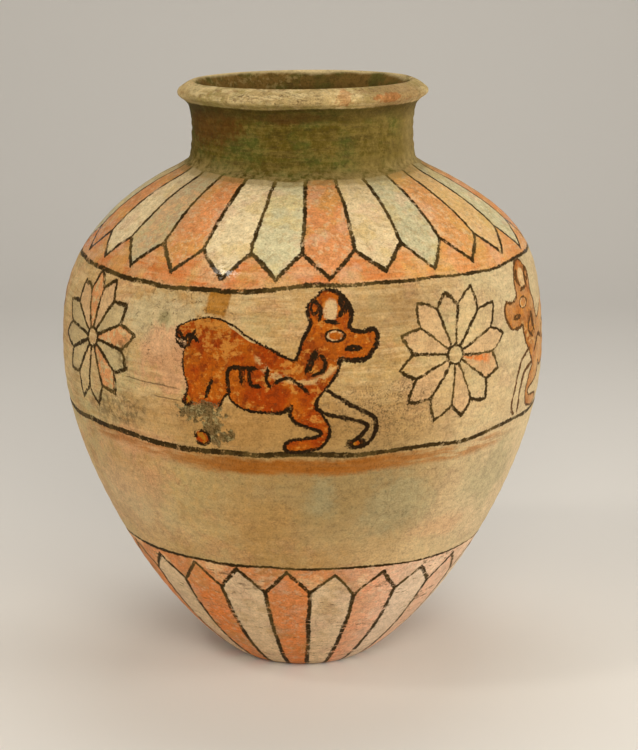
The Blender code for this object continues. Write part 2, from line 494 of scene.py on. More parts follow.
def buildJar(path):
    body, alongWall = spinWall(path)
    divideUnderAnimals(body, alongWall)
    mesh = bpy.data.meshes.new("painted_jar")
    body.to_mesh(mesh)
    body.free()
    jar = bpy.data.objects.new("painted_jar", mesh)
    bpy.context.scene.collection.objects.link(jar)

    places = np.zeros(len(mesh.vertices) * 3)
    mesh.vertices.foreach_get("co", places)
    places = places.reshape(-1, 3)
    along = np.zeros(len(places))
    mesh.attributes["alongWall"].data.foreach_get("value", along)
    turn = np.arctan2(places[:, 0], -places[:, 1]) / (2 * pi)
    mesh.vertices.foreach_set("co", shapeByHand(path, turn, along).ravel())
    addCharts(mesh, path, places, turn, along)
    drawAnimals(mesh, turn, along)
    mesh.shade_smooth()
    mesh.update()
    triangles = sum(len(face.vertices) - 2 for face in mesh.polygons)
    print("jar wall:", len(places), "points,", triangles, "triangles")
    return jar


jar = buildJar(jarPath)


# the glaze and the painting

class Number:
    # A number on its way through a material: what make's node gives, times scale, plus shift.
    # make(scale, shift) gives a socket; a ramp takes both into its own ends.

    def __init__(self, glaze, make, scale=1.0, shift=0.0, isRamp=False):
        self.glaze = glaze
        self.make = make
        self.scale = scale
        self.shift = shift
        self.isRamp = isRamp

    @property
    def source(self):
        return self.make(1.0, 0.0)

    @property
    def socket(self):
        return self.make(self.scale, self.shift)

    def math(self, operation, *others):
        values = dict(enumerate((self,) + others))
        return self.glaze.number(self.glaze.add("ShaderNodeMath", {"operation": operation}, values).outputs[0])

    def __add__(self, other):
        if not isinstance(other, Number):
            return Number(self.glaze, self.make, self.scale, self.shift + other, self.isRamp)
        base, added = (other, self) if other.scale == 1.0 else (self, other)
        values = {0: added.source, 1: added.scale, 2: base.make(base.scale, 0.0)}
        node = self.glaze.add("ShaderNodeMath", {"operation": "MULTIPLY_ADD"}, values)
        return self.glaze.number(node.outputs[0]) + (self.shift + other.shift)

    def __sub__(self, other):
        return self + other * -1.0

    def __rsub__(self, other):
        return self * -1.0 + other

    def __mul__(self, other):
        if not isinstance(other, Number):
            return Number(self.glaze, self.make, self.scale * other, self.shift * other, self.isRamp)
        scale = 1.0
        sockets = []
        for number in (self, other):
            whole = number.isRamp or number.shift
            sockets.append(number.socket if whole else number.source)
            scale *= 1.0 if whole else number.scale
        node = self.glaze.add("ShaderNodeMath", {"operation": "MULTIPLY"}, dict(enumerate(sockets)))
        return self.glaze.number(node.outputs[0]) * scale

    def __truediv__(self, other):
        return self * (1.0 / other)

    __radd__ = __add__
    __rmul__ = __mul__

    def least(self, other):
        return self.math("MINIMUM", other)

    def most(self, other):
        return self.math("MAXIMUM", other)

    def size(self):
        return self.math("ABSOLUTE")

    def over(self, low, high):
        # 0 up to low, 1 from high on, soft between
        return self.glaze.ramp(self, low, high)

    def under(self, low, high):
        # 1 up to low, 0 from high on
        return self.glaze.ramp(self, low, high, (1.0, 0.0))

    def between(self, low, high, soft):
        return self.over(low - soft, low + soft) * self.under(high - soft, high + soft)


class GlazeMix:
    # One material and the nodes that are added to it

    def __init__(self, name):
        self.material = bpy.data.materials.new(name)
        self.material.use_nodes = True
        self.tree = self.material.node_tree
        self.shader = self.tree.nodes["Principled BSDF"]

    def add(self, kind, settings=None, sockets=None):
        node = self.tree.nodes.new(kind)
        for name, value in (settings or {}).items():
            setattr(node, name, value)
        for name, value in (sockets or {}).items():
            self.feed(node.inputs[name], value)
        return node

    def feed(self, socket, value):
        if isinstance(value, Number):
            value = value.socket
        if isinstance(value, bpy.types.NodeSocket):
            self.tree.links.new(value, socket)
        elif socket.type == "RGBA":
            socket.default_value = tuple(value) + (1.0,)
        else:
            socket.default_value = value

    def attribute(self, name, output="Fac"):
        return self.add("ShaderNodeAttribute", {"attribute_name": name}).outputs[output]

    def number(self, socket):
        made = {(1.0, 0.0): socket}

        def make(scale, shift):
            if (scale, shift) not in made:
                node = self.add("ShaderNodeMath", {"operation": "MULTIPLY_ADD"}, {0: socket, 1: scale, 2: shift})
                made[scale, shift] = node.outputs[0]
            return made[scale, shift]

        return Number(self, make)

    def ramp(self, value, low, high, result=(0.0, 1.0)):
        # From the first result at low to the second at high, soft between
        if not isinstance(low, Number):
            low, high = (low - value.shift) / value.scale, (high - value.shift) / value.scale
            if value.scale < 0:
                low, high, result = high, low, result[::-1]
            value = value.source
        made = {}

        def make(scale, shift):
            if (scale, shift) not in made:
                ends = [end * scale + shift for end in result]
                values = {"Value": value, "From Min": low, "From Max": high, "To Min": ends[0], "To Max": ends[1]}
                node = self.add("ShaderNodeMapRange", {"interpolation_type": "SMOOTHSTEP"}, values)
                made[scale, shift] = node.outputs["Result"]
            return made[scale, shift]

        return Number(self, make, isRamp=True)

    def parts(self, vector):
        node = self.add("ShaderNodeSeparateXYZ", {}, {0: vector})
        return [self.number(node.outputs[i]) for i in range(3)]

    def joined(self, *numbers):
        return self.add("ShaderNodeCombineXYZ", {}, dict(enumerate(numbers))).outputs[0]

    def vector(self, operation, *values):
        return self.add("ShaderNodeVectorMath", {"operation": operation}, dict(enumerate(values)))

    def noise(self, vector, scale, detail=3.0, roughness=0.55):
        # Three different noises from one texture
        node = self.add("ShaderNodeTexNoise", {}, {
            "Vector": vector, "Scale": scale, "Detail": detail, "Roughness": roughness,
        })
        split = self.add("ShaderNodeSeparateColor", {}, {0: node.outputs["Color"]})
        return [self.number(socket) for socket in (node.outputs["Fac"], split.outputs[1], split.outputs[2])]

    def chance(self, index, other=None):
        # A number from 0 to 1 that is the same for the same numbers
        if other:
            index = index.math("ADD", other.math("MULTIPLY", 17.0))
        node = self.add("ShaderNodeTexWhiteNoise", {"noise_dimensions": "1D"}, {"W": index.math("ADD", 0.37)})
        return self.number(node.outputs["Value"])

    def mix(self, share, first, second):
        node = self.add("ShaderNodeMix", {"data_type": "RGBA"}, {"Factor": share, "A": first, "B": second})
        return node.outputs["Result"]

    def shade(self, colour, value):
        # The colour times a number
        node = self.add("ShaderNodeVectorMath", {"operation": "SCALE"}, {0: colour, "Scale": value})
        return node.outputs[0]

    def reach(self, place, middle, half):
        # Distance from an oval's middle, which is 1 at its edge
        by = [1 / size for size in half] + [0.0]
        to = [-at / size for at, size in zip(middle, half)] + [0.0]
        across = self.vector("MULTIPLY_ADD", place, by, to).outputs["Vector"]
        return self.number(self.vector("LENGTH", across).outputs["Value"])

    def oval(self, place, middle, half):
        # About the signed distance to an oval's edge, negative inside
        return (self.reach(place, middle, half) - 1.0) * min(half)

    def blot(self, place, middle, half, raggedness=0.0, soft=0.35):
        # A soft or ragged stain: 1 in its middle, 0 outside
        return (self.reach(place, middle, half) + raggedness).under(1.0 - soft, 1.0 + soft)


paints = {  # linear colours
    "ground": (0.56, 0.35, 0.135),
    "groundPale": (0.66, 0.47, 0.235),
    "groundTan": (0.42, 0.235, 0.072),
    "groundBrown": (0.28, 0.165, 0.065),
    "groundGreen": (0.40, 0.355, 0.165),
    "groundPink": (0.62, 0.30, 0.15),
    "groundOlive": (0.27, 0.180, 0.066),
    "patchGreen": (0.33, 0.290, 0.155),
    "groundCool": (0.57, 0.46, 0.28),
    "teal": (0.50, 0.430, 0.250),
    "creamPetal": (0.72, 0.58, 0.34),
    "greenPetal": (0.59, 0.53, 0.31),
    "yellow": (0.66, 0.45, 0.12),
    "orangePetal": (0.62, 0.245, 0.085),
    "orangeDeep": (0.62, 0.19, 0.045),
    "orangePale": (0.70, 0.42, 0.20),
    "orangeGold": (0.66, 0.37, 0.12),
    "petalGrey": (0.64, 0.47, 0.28),
    "petalPink": (0.58, 0.35, 0.22),
    "petalWorn": (0.43, 0.275, 0.145),
    "petalWhite": (0.80, 0.62, 0.47),
    "rosettePink": (0.60, 0.36, 0.18),
    "rosetteGrey": (0.40, 0.34, 0.175),
    "neckOlive": (0.105, 0.073, 0.007),
    "neckGreen": (0.075, 0.080, 0.012),
    "neckTan": (0.22, 0.155, 0.040),
    "neckPale": (0.36, 0.26, 0.10),
    "neckRed": (0.092, 0.028, 0.003),
    "rimTan": (0.48, 0.345, 0.150),
    "rimPale": (0.60, 0.47, 0.24),
    "rimGreen": (0.25, 0.205, 0.060),
    "rimRust": (0.36, 0.13, 0.03),
    "insideBrown": (0.19, 0.108, 0.026),
    "insideGreen": (0.10, 0.085, 0.018),
    "insideDark": (0.050, 0.031, 0.006),
    "line": (0.034, 0.018, 0.002),
    "lineWorn": (0.115, 0.072, 0.018),
    "figureLine": (0.018, 0.008, 0.001),
    "figureBrown": (0.11, 0.045, 0.009),
    "figure": (0.33, 0.045, 0.001),
    "figureLight": (0.42, 0.100, 0.004),
    "figureDark": (0.20, 0.030, 0.002),
    "figurePale": (0.50, 0.210, 0.035),
    "stain": (0.32, 0.096, 0.006),
    "stainGold": (0.38, 0.150, 0.010),
    "smoke": (0.125, 0.082, 0.030),
    "grime": (0.11, 0.068, 0.026),
    "clay": (0.44, 0.19, 0.08),
}

groundBlots = {  # paint, share, middle and half size on the frieze in metres, raggedness, softness
    "browningAndShade": (  # the middle of the front: partly brown staining, partly painted shade on the lower front, where the wall turns down and away from the light
        ("groundTan", 0.45, (-0.020, -0.120), (0.130, 0.100), 0.0, 0.8),
        ("groundTan", 0.85, (-0.010, -0.040), (0.090, 0.018), 0.0, 0.8),
        ("stain", 0.14, (-0.010, -0.040), (0.090, 0.018), 0.0, 0.8),
    ),
    "cooled": (  # its right side, and the grey-green places
        ("groundCool", 0.35, (0.115, -0.100), (0.080, 0.050), 0.0, 0.8),
        ("groundOlive", 0.72, (0.036, -0.084), (0.072, 0.040), 0.3, 0.8),
        ("petalGrey", 0.45, (0.185, -0.110), (0.070, 0.040), 0.3, 0.8),
        ("petalGrey", 0.45, (-0.165, -0.118), (0.055, 0.026), 0.3, 0.8),
        ("teal", 0.55, (-0.098, 0.030), (0.034, 0.020), 1.0, 0.35),
        ("neckGreen", 0.45, (-0.097, 0.031), (0.004, 0.005), 1.0, 0.5),
    ),
    "spotted": (  # pink and tan spots, and the dust round the animal's head
        ("groundTan", 0.55, (-0.030, -0.108), (0.024, 0.016), 1.0, 0.5),
        ("groundPink", 0.32, (-0.140, -0.085), (0.035, 0.020), 1.0, 0.5),
        ("groundPink", 0.30, (0.122, -0.126), (0.030, 0.008), 1.0, 0.5),
        ("groundPink", 0.64, (-0.090, 0.004), (0.030, 0.018), 1.0, 0.35),
        ("groundPink", 0.45, (-0.130, -0.060), (0.040, 0.010), 1.0, 0.6),
        ("groundBrown", 0.52, (0.065, 0.040), (0.030, 0.016), 1.0, 0.6),
    ),
}
greenPatches = (
    ((0.013, -0.090), (0.012, 0.014)), ((0.070, -0.098), (0.028, 0.024)), ((0.165, -0.090), (0.032, 0.026)),
)

shoulderPetals = {
    "rise": "shoulderPetals", "count": 27, "tipAzimuth": -7.75, "tip": 0.0055, "notch": 0.0257, "lean": 2.4,
}
lowerPetals = {"rise": "lowerPetals", "count": 24, "tipAzimuth": -5.25, "tip": -0.0056, "notch": -0.0245}

# the painted rings and rows climb and sag: from and to, in metres round the jar, and how far
rises = {
    "friezeTop": (
        (-0.24, -0.16, -0.0014), (-0.125, -0.095, -0.0024), (-0.055, 0.010, 0.0060), (0.15, 0.22, 0.0020),
    ),
    "friezeFoot": ((-0.30, -0.24, 0.0037), (-0.145, -0.070, -0.0037), (0.110, 0.165, 0.0036)),
    "lowerLine": ((0.035, 0.110, -0.0036),),
    "shoulderPetals": ((-0.12, -0.08, -0.0018), (0.0, 0.08, 0.0064)),
    "lowerPetals": ((-0.005, 0.030, -0.0042),),
}

halfLines = {"ring": 0.00150, "petal": 0.00135, "rosette": 0.00100, "stroke": 0.00170}
figureLine = {"rump": 0.0007, "belly": 0.0012, "head": 0.0016}  # half widths of the animal's outline


class PaintedJar(GlazeMix):
    # The jar's glaze, painted from the ground up

    def __init__(self):
        super().__init__("painted_glaze")
        self.place = self.add("ShaderNodeTexCoord").outputs["Object"]
        x, y, _ = self.parts(self.place)
        self.radius = (x * x + y * y).math("SQRT")
        self.turn = self.number(self.attribute("turn"))
        self.run = self.number(self.attribute("alongWall"))
        self.broad = self.noise(self.place, 11.0, 3.0)
        self.sway = self.noise(self.place, 24.0, 0.0)
        self.patch = self.noise(self.place, 42.0, 4.0, 0.62)
        self.grain = self.noise(self.place, 230.0, 4.0, 0.65)
        self.streak = self.noise(self.vector("MULTIPLY", self.place, (1.0, 1.0, 8.0)).outputs[0], 38.0, 5.0, 0.68)
        self.speck = self.noise(self.place, 760.0, 2.0, 0.6)
        # hands shake: lines wander by a millimetre or two and swell and thin
        self.wander = self.shaken((self.sway[0], 0.0060), (self.patch[0], 0.0030), (self.grain[0], 0.0022))
        self.drift = self.shaken((self.sway[1], 0.0050), (self.patch[1], 0.0030), (self.grain[1], 0.0022))
        self.swell = self.shaken((self.grain[2], 0.0024), (self.patch[2], 0.0014), (self.speck[0], 0.0018))
        # metres round the jar from its front, and up from the frieze's middle
        self.round = self.turn * (2 * pi * friezeRadius)
        self.up = self.run - friezeMiddle
        self.onFrieze = self.joined(self.round, self.up)
        self.onWall = self.joined(self.round, self.run)
        self.rise = {name: self.climb(steps) for name, steps in rises.items()}
        low = runs["friezeFoot"]
        self.inFrieze = (self.run - self.rise["friezeFoot"]).over(low - 0.001, low + 0.001) * self.underTop(0.001)
        self.lines = None
        self.colour = None

    def shaken(self, *noises):
        # The noises' swings to both sides of 0, each with its own strength
        return sum((noise - 0.5) * strength for noise, strength in noises)

    def climb(self, steps):
        climbed = sum(self.ramp(self.round, start, end, (0.0, height)) for start, end, height in steps)
        return climbed * self.turn.size().under(0.28, 0.40)

    def underTop(self, soft):
        # 1 below the frieze's upper ring
        return (self.run - self.rise["friezeTop"]).under(runs["friezeTop"] - soft, runs["friezeTop"] + soft)

    def lay(self, share, paint):
        self.colour = self.mix(share, self.colour, paint)

    def line(self, away, halfWidth, share=1.0):
        # A brush line, where away is the distance from its middle
        mark = (away + self.swell).under(halfWidth - 0.00035, halfWidth + 0.00035) * share
        self.lines = self.lines.most(mark) if self.lines else mark

    def among(self, index, chosen):
        # 1 where index is one of the chosen numbers
        marks = None
        for number in chosen:
            mark = index.math("COMPARE", float(number), 0.5)
            marks = marks + mark if marks else mark
        return marks

    def tonesInTurn(self, index, tones):
        # Takes the tones one after another as index counts up
        tone = tones[0]
        inTurn = index.math("FLOORED_MODULO", float(len(tones)))
        for i, paint in enumerate(tones[1:], 1):
            tone = self.mix(self.among(inTurn, (i,)), tone, paint)
        return tone

    def layGround(self):
        brushed = self.inFrieze * 0.7 + 0.15
        self.colour = self.mix(self.broad[0].over(0.36, 0.62), paints["ground"], paints["groundPale"])
        for noise, low, high, share, paint in (
            (self.broad[1], 0.46, 0.62, 0.60, "groundGreen"),
            (self.broad[2], 0.46, 0.64, 0.60, "groundTan"),
            (self.patch[0], 0.48, 0.62, 0.45, "groundGreen"),
            (self.patch[1], 0.50, 0.64, 0.45, "groundPink"),
            (self.patch[2], 0.50, 0.64, 0.45, "groundTan"),
            (self.grain[0], 0.48, 0.64, 0.35, "groundTan"),
            (self.grain[1], 0.48, 0.64, 0.35, "groundPale"),
            (self.streak[0], 0.46, 0.62, brushed * 0.55, "groundTan"),
            (self.streak[1], 0.48, 0.64, brushed * 0.60, "groundPale"),
            (self.streak[2], 0.54, 0.64, brushed * 0.40, "groundBrown"),
        ):
            self.lay(noise.over(low, high) * share, paints[paint])

        ragged = self.shaken((self.patch[2], 2.4), (self.grain[2], 1.2))
        # browner in the middle of the front: partly stain, partly painted shade on the lower front
        self.layBlots(groundBlots["browningAndShade"], ragged)
        self.lay(self.round.over(0.05, 0.20) * self.turn.under(0.25, 0.4) * 0.65, paints["groundCool"])
        self.layBlots(groundBlots["cooled"], ragged)
        green = [self.blot(self.onFrieze, middle, half, ragged, 0.5) for middle, half in greenPatches]
        self.lay(green[0].most(green[1]).most(green[2]) * (0.25 + self.grain[1] * 0.6), paints["patchGreen"])
        self.layBlots(groundBlots["spotted"], ragged)

    def layBlots(self, blots, ragged):
        for paint, share, middle, half, raggedness, soft in blots:
            edge = ragged * raggedness if raggedness else 0.0
            self.lay(self.blot(self.onFrieze, middle, half, edge, soft) * share, paints[paint])

    def petalRow(self, petals, line, tones, background, odd=()):
        # One row of pointed petals: how far inside them, how far from their sides, and their colours
        tip, notch = runs[line] + petals["tip"], runs[line] + petals["notch"]
        count = petals["count"]
        inwards = 1.0 if petals["tip"] > 0 else -1.0
        run = self.run - self.rise[petals["rise"]]
        lean = (run - notch).most(0.0) * petals.get("lean", 0.0)
        position = self.turn * float(count) + (0.5 - petals["tipAzimuth"] * count / 360) + self.wander * float(count)
        position = position - lean
        index = position.math("FLOOR")
        fromMiddle = ((position - index) * 2.0 - 1.0).size()
        luck = self.chance(index) - 0.5
        point = fromMiddle * (notch - tip) + tip + luck * (1.0 - fromMiddle) * 0.005
        halfPetal = pi * 0.14 / count
        slope = halfPetal / hypot(halfPetal, notch - tip)
        inside = (run + self.drift - point) * (slope * inwards)
        toSide = (1.0 - fromMiddle) * self.radius * (pi / count)
        petal = self.tonesInTurn(index, tones)
        for number, share, paint in odd:
            petal = self.mix(self.among(index, (number,)) * share, petal, paint)
        petal = self.shade(petal, luck * 0.20 + 1.0)
        return inside, toSide, self.mix(inside.over(-0.0003, 0.0003), background, petal)

    def paintShoulder(self):
        here = self.run.under(runs["petalTop"] + 0.0136, runs["petalTop"] + 0.0144) * (1.0 - self.underTop(0.0004))
        zone = self.mix(self.streak[0].over(0.42, 0.58), paints["orangeDeep"], paints["orangePetal"])
        zone = self.mix(self.patch[1].over(0.48, 0.60) * 0.6, zone, paints["orangePale"])
        zone = self.mix(self.round.over(0.03, 0.09) * self.round.under(0.3, 0.4) * 0.35, zone, paints["orangeGold"])
        orange = self.mix(self.patch[2].over(0.50, 0.62) * 0.55, paints["orangePetal"], paints["orangeDeep"])
        inside, toSide, tone = self.petalRow(
            shoulderPetals, "friezeTop", (paints["greenPetal"], orange, paints["creamPetal"]), zone,
            ((5, 0.75, paints["orangeGold"]), (4, 0.40, paints["orangeGold"]), (2, 0.22, paints["groundTan"])))
        self.lay(here, tone)
        self.lay(here * self.patch[2].over(0.50, 0.62) * 0.35, paints["yellow"])
        self.lay(here * self.patch[0].over(0.52, 0.64) * 0.45, paints["petalPink"])
        onPetal = inside.over(0.0, 0.001)
        self.lay(here * onPetal * self.grain[1].over(0.51, 0.61) * 0.40, paints["creamPetal"])
        self.lay(here * self.grain[2].over(0.52, 0.62) * 0.30, paints["groundTan"])
        # pale streaks on the orange between the petals: partly the glaze's own paler streaks, partly painted highlight
        # on its shine
        self.lay(here * (1.0 - onPetal) * self.streak[2].over(0.50, 0.58) * 0.45, paints["orangePale"])
        # one petal on the left is worn brown, and all are dustier towards the neck
        ragged = (self.patch[1] - 0.5) * 2.0
        worn = self.blot(self.onWall, (-0.136, runs["petalTop"] - 0.040), (0.022, 0.050), ragged, 0.5)
        self.lay(here * onPetal * worn * (0.25 + self.grain[0].over(0.44, 0.56) * 0.6), paints["petalWorn"])
        spots = self.patch[2].over(0.48, 0.54) * self.grain[2].over(0.48, 0.56)
        self.lay(here * onPetal * worn * spots * 0.7, paints["orangePale"])
        self.lay(here * self.run.over(runs["petalTop"] - 0.020, runs["petalTop"]) * 0.30, paints["neckPale"])
        self.lay(here * self.round.between(-0.30, -0.11, 0.03) * 0.16, paints["groundBrown"])
        self.line(toSide, halfLines["petal"], inside.over(-0.001, 0.0) * here)
        self.line(inside.size(), halfLines["petal"], here)

    def paintLowerPetals(self):
        here = (self.run - self.rise["lowerLine"]).under(runs["lowerLine"] - 0.0004, runs["lowerLine"] + 0.0004)
        here = here * self.run.over(-0.002, 0.0)
        zone = self.mix(self.patch[0].over(0.48, 0.64), paints["orangePetal"], paints["orangePale"])
        orange = self.mix(self.patch[0].over(0.48, 0.58) * 0.55 + 0.40, paints["orangePetal"], paints["orangeDeep"])
        inside, toSide, tone = self.petalRow(lowerPetals, "lowerLine", (orange, paints["petalGrey"]), zone)
        self.lay(here, tone)
        self.lay(here * self.patch[1].over(0.50, 0.64) * 0.40, paints["petalPink"])
        self.lay(here * self.patch[2].over(0.52, 0.66) * 0.45, paints["groundTan"])
        self.lay(here * self.grain[2].over(0.52, 0.64) * 0.45, paints["petalGrey"])
        # paler towards the right
        self.lay(here * self.round.between(0.06, 0.30, 0.05) * 0.55, paints["petalWhite"])
        scuffs = self.streak[2].over(0.55, 0.60) * self.grain[0].over(0.46, 0.54) * self.patch[0].over(0.46, 0.54)
        self.lay(here * scuffs * 0.75, paints["grime"])
        dashes = self.streak[1].over(0.36, 0.44).most(self.run.over(0.080, 0.105))
        self.line(toSide, halfLines["petal"] * 1.15, inside.over(-0.001, 0.0) * here * dashes)
        self.line(inside.size(), halfLines["petal"] * 1.15, here * self.grain[1].over(0.34, 0.42))

    def paintRings(self):
        # thinner towards the right
        thinning = 1.0 - self.round.between(0.05, 0.32, 0.06) * 0.30
        for name, wide in (("lowerLine", 0.85), ("friezeFoot", 1.35), ("friezeTop", 1.10)):
            run = self.run - self.rise[name] + self.drift * 0.6 + (self.sway[0] - 0.5) * 0.003
            self.line((run - runs[name]).size(), thinning * (halfLines["ring"] * wide))

    def paintRosettes(self):
        x, y, number = self.parts(self.attribute("rosettePlace", "Vector"))
        x = x + self.wander
        y = y + self.drift
        reach = (x * x + y * y).math("SQRT")
        count = rosette["petals"]
        heading = y.math("ARCTAN2", x) * (count / (2 * pi)) + (0.5 - rosette["tipHeading"] * count / 360)
        index = heading.math("FLOOR")
        leftwards = heading - index
        fromMiddle = (leftwards * 2.0 - 1.0).size()
        index = index.math("FLOORED_MODULO", float(count))
        luck = self.chance(index, number) - 0.5
        edge = fromMiddle * (rosette["notch"] - rosette["tip"]) + rosette["tip"] + luck * (1.0 - fromMiddle) * 0.006
        inside = (edge - reach) * 0.64
        toSide = (1.0 - fromMiddle) * reach * (pi / count)
        petal = inside.over(-0.0002, 0.0004) * reach.over(rosette["eye"], rosette["eye"] + 0.0004) * self.inFrieze
        second = number.math("FLOORED_MODULO", 2.0)
        brush = self.grain[1].over(0.40, 0.50) * self.patch[1].over(0.30, 0.46)
        self.lay(petal * (luck + 0.5) * 0.35, paints["groundPale"])
        self.lay(petal * self.among(index, rosette["pink"][0]) * (1.0 - second) * 0.45, paints["rosettePink"])
        self.lay(petal * self.among(index, rosette["pink"][1]) * second * 0.60, paints["rosettePink"])
        self.lay(petal * self.among(index, rosette["grey"][1]) * second * 0.40, paints["rosetteGrey"])
        streak = self.among(index, rosette["orange"][0]) * (1.0 - second)
        streak = streak * (self.grain[1].over(0.34, 0.46) * 0.8 + 0.2)
        self.lay(petal * streak * 0.35, paints["orangePetal"])
        streak = streak * (reach + self.wander * 2.0).under(0.027, 0.034) * leftwards.over(0.45, 0.70)
        self.lay(petal * streak * toSide.over(0.0004, 0.0014), paints["orangeDeep"])
        self.lay(petal * self.among(index, rosette["orange"][1]) * second * brush * 0.8, paints["orangePetal"])
        blocked = reach.under(rosette["eye"] - 0.0004, rosette["eye"]) * 0.01 + inside.under(-0.001, 0.0) * 0.01
        away = inside.size().least(toSide + blocked).least((reach - rosette["eye"]).size())
        self.line(away - second * 0.0003, halfLines["rosette"], self.inFrieze)

    def paintAnimals(self):
        outline = self.number(self.attribute("outlineSide")) + self.wander * 0.3
        side = self.number(self.attribute("strokeSide")) + self.drift * 0.3
        reach = self.number(self.attribute("strokeReach"))
        chart = self.attribute("animalPlace", "Vector")
        x, y, number = self.parts(chart)
        first = number.under(0.2, 0.4)
        second = 1.0 - first
        ovals = {}
        for name, sizes in animal["ovals"].items():
            middleX, middleY, halfX, halfY = (size / 1000 for size in sizes)
            ovals[name] = self.oval(chart, (middleX, middleY), (halfX, halfY))

        # on the front animal the hind legs have flaked away to a grey smear
        ragged = (self.patch[0] - 0.5) * 1.6 + (self.grain[0] - 0.5) * 1.2
        lost = self.blot(chart, (-0.047, -0.042), (0.024, 0.019), (self.patch[0] - 0.5) * 0.6, 0.08) * first
        kept = 1.0 - lost
        # the colour shrinks back from the line along the animal's back, and has flaked in streaks
        gap = self.blot(chart, (-0.021, 0.025), (0.014, 0.008), ragged * 0.5, 0.4) * 0.0020
        tone = self.mix(self.patch[1].over(0.38, 0.58), paints["figure"], paints["figureLight"])
        tone = self.mix(self.grain[2].over(0.50, 0.62) * 0.7, tone, paints["figureDark"])
        darkNeck = self.blot(chart, (0.026, 0.008), (0.012, 0.016), ragged * 0.5, 0.5)
        tone = self.mix(darkNeck * 0.55, tone, paints["figureDark"])
        tone = self.mix(second * (0.15 + self.grain[1] * 0.5), tone, paints["stainGold"])
        faded = x.under(0.010, 0.035) * 0.28 + self.patch[0].over(0.40, 0.60) * 0.25 + 0.06
        tone = self.mix(second * faded, tone, paints["groundPale"])
        flaked = self.grain[0] * 0.45 + self.patch[2] * 0.35 + self.streak[2] * 0.2 + x.under(-0.045, -0.010) * 0.02
        tone = self.mix(flaked.over(0.530, 0.580) * 0.75, tone, paints["figurePale"])
        # a bare streak runs round the chest
        bare = (ovals["chest"] + self.wander * 0.8 + (self.patch[2] - 0.5) * 0.008).size()
        bare = bare.under(0.0008, 0.0030) * y.under(0.008, 0.014)
        bare = bare * (self.grain[1] * 0.6 + self.streak[1] * 0.4).over(0.45, 0.51)
        tone = self.mix(bare * 0.80, tone, paints["ground"])
        brow = (ovals["brow"] + self.wander * 0.8 + (self.grain[0] - 0.5) * 0.003).under(-0.0004, 0.0012)
        tone = self.mix(brow * (0.35 + self.grain[1].over(0.34, 0.50) * 0.50), tone, paints["groundPale"])
        ring = (ovals["eye"] + 0.0008 + self.wander * 0.2).size().under(0.0003, 0.0009)
        tone = self.mix(ring * self.grain[2].over(0.38, 0.48) * 0.70, tone, paints["groundPale"])
        self.lay((outline + gap).under(-0.0003, 0.0003) * kept * self.inFrieze, tone)
        torn = (self.patch[0] - 0.5) * 2.0 + (self.grain[0] - 0.5) * 3.0
        smear = self.blot(chart, (-0.049, -0.0275), (0.013, 0.0070), torn, 0.12)
        smear = smear.most(self.blot(chart, (-0.0420, -0.0400), (0.0060, 0.0120), torn, 0.12))
        smear = smear.most(self.blot(chart, (-0.0330, -0.0440), (0.0070, 0.0045), torn, 0.12)) * first * self.inFrieze
        smudge = self.mix(self.grain[2].over(0.48, 0.58) * 0.5, paints["smoke"], paints["groundGreen"])
        self.lay(smear * 0.80, smudge)
        self.lay(smear * (self.grain[1] * 0.5 + self.speck[1] * 0.5).over(0.50, 0.55) * 0.7, paints["insideDark"])
        discs = ovals["hoof"].least(ovals["knee"]).least(ovals["forehoof"]) + self.wander * 0.5
        disc = self.mix(self.grain[2].over(0.45, 0.58), paints["figure"], paints["stainGold"])
        self.lay(discs.under(-0.0004, 0.0004) * first, disc)

        half = self.ramp(x - y * 0.5, -0.022, 0.006, (figureLine["rump"], figureLine["belly"]))
        half = half + self.ramp(x, 0.026, 0.040, (0.0, figureLine["head"] - figureLine["belly"])) * y.over(-0.010, 0.010)
        half = half * (1.0 - second * 0.25)
        frayed = self.swell + (self.speck[1] - 0.5) * 0.0024
        marks = (outline.size() + frayed - half).under(-0.0003, 0.0003) * kept
        wide = halfLines["stroke"] * 0.7
        strokes = (side.size() + frayed - half * 0.25).under(wide - 0.0003, wide + 0.0003)
        marks = marks.most(strokes * reach.under(0.0024, 0.0030) * kept)
        for name, wide in (("eye", 0.0006), ("ear", 0.0008), ("nostril", 0.0010)):
            marks = marks.most((ovals[name].size() + self.swell * 0.7).under(wide - 0.0003, wide + 0.0003))
        marks = marks.most((discs.size() + self.swell).under(0.0008, 0.0014) * first * self.grain[1].over(0.40, 0.48))
        self.figureLines = marks * self.inFrieze
        self.figureTone = self.mix(second * 0.85, paints["figureLine"], paints["figureBrown"])

    def paintNeckAndRim(self):
        edge = self.run + self.drift * 0.8 + (self.broad[0] - 0.5) * 0.010 - self.round.size().least(0.20) * 0.03
        onNeck = edge.over(runs["petalTop"] - 0.0015, runs["petalTop"] + 0.0010)
        tone = self.mix(self.patch[0].over(0.40, 0.60), paints["neckOlive"], paints["neckGreen"])
        tone = self.mix((self.streak[2] * 0.7 + self.grain[0] * 0.3).over(0.46, 0.58) * 0.38, tone, paints["neckTan"])
        tone = self.mix((self.streak[0] * 0.7 + self.grain[1] * 0.3).over(0.50, 0.58) * 0.42, tone, paints["insideDark"])
        tone = self.mix((self.grain[0] * 0.5 + self.speck[0] * 0.5).over(0.46, 0.62) * 0.20, tone, paints["neckTan"])
        ragged = (self.patch[1] - 0.5) * 2.0 + (self.grain[1] - 0.5) * 2.0
        rust = self.blot(self.onWall, (-0.165, runs["neckTop"] - 0.010), (0.060, 0.013), ragged)
        rust = rust.most(self.blot(self.onWall, (-0.020, runs["neckTop"] - 0.001), (0.060, 0.004), ragged) * 0.8)
        rust = rust.most(self.broad[2].over(0.56, 0.64) * self.patch[1].over(0.46, 0.56) * 0.7)
        tone = self.mix(rust * (0.30 + self.grain[2] * 0.7), tone, paints["neckRed"])
